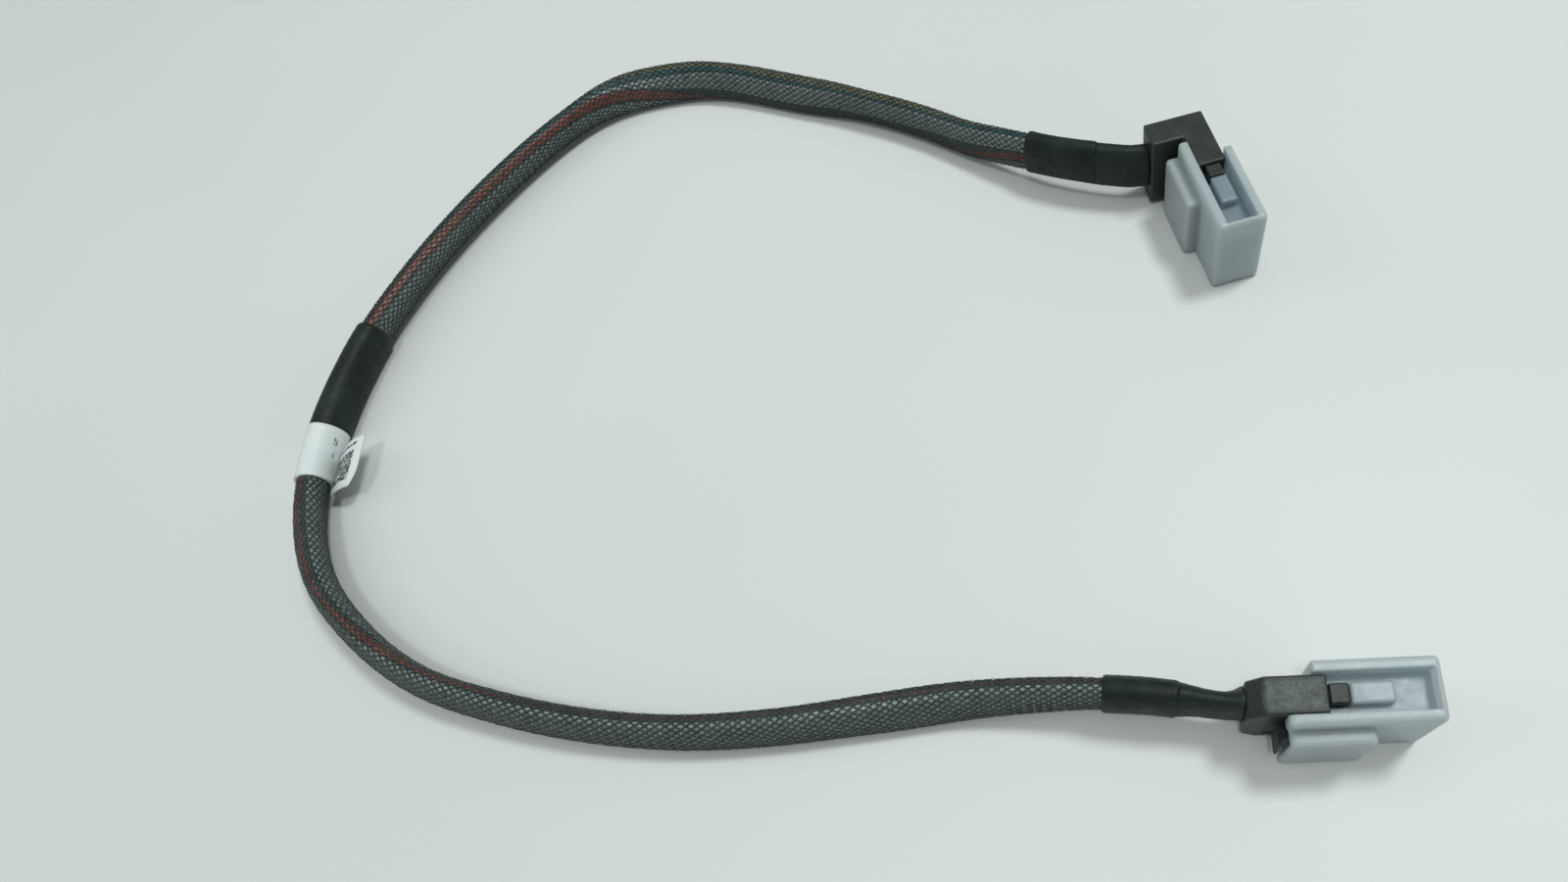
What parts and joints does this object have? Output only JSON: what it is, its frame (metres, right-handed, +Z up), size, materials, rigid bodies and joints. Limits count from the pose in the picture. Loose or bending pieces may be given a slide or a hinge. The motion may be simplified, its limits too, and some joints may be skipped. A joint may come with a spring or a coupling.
{
  "type": "mini sas cable",
  "caption": "Braided internal data cable with a straight and a right-angled latching card-edge plug, each under a milky dust cap.",
  "frame": {"origin": "bottom centre of the box round the two capped plugs, on the surface that they stand on", "axes": "+Z up from that surface, +X the way the straight plug mates, +Y from the straight plug towards the right-angled one"},
  "size_m": [0.2543, 0.2052, 0.0224],
  "materials": {
    "moulded_black": "satin moulded black plastic",
    "tongue_black": "satin black plastic",
    "card_green": "solder-masked board with gold pads",
    "latch_dark_steel": "black-coated spring steel",
    "milky_cap": "translucent milky polyethylene",
    "shrink_black": "satin heat-shrink tube",
    "braid_charcoal": "open braid of dark filament over foil-wrapped wires",
    "label_white": "printed white film label"
  },
  "bodies": {
    "cable_assembly": {"straight_shell": "moulded_black", "angled_shell": "moulded_black", "straight_tongue": "tongue_black", "angled_tongue": "tongue_black", "straight_paddle_card": "card_green", "angled_paddle_card": "card_green", "straight_dust_cap": "milky_cap", "angled_dust_cap": "milky_cap", "angled_sleeve": "shrink_black", "angled_collar": "shrink_black", "middle_sleeve": "shrink_black", "straight_collar": "shrink_black", "straight_sleeve": "shrink_black", "upper_braid": "braid_charcoal", "lower_braid": "braid_charcoal", "label": "label_white"},
    "straight_latch": {"straight_latch_spring": "latch_dark_steel"},
    "angled_latch": {"angled_latch_spring": "latch_dark_steel"}
  },
  "joints": [
    {"name": "straight_latch_press", "type": "hinge", "parent": "cable_assembly", "child": "straight_latch", "pos_m": [0.001, -0.07555, 0], "axis": [0, 0, -1], "range_deg": [0, 5.5], "stiffness_Nm_per_rad": 0.02},
    {"name": "angled_latch_press", "type": "hinge", "parent": "cable_assembly", "child": "angled_latch", "pos_m": [-0.01211, 0.06343, 0], "axis": [0, 0, -1], "range_deg": [0, 5.5], "stiffness_Nm_per_rad": 0.02}
  ]
}
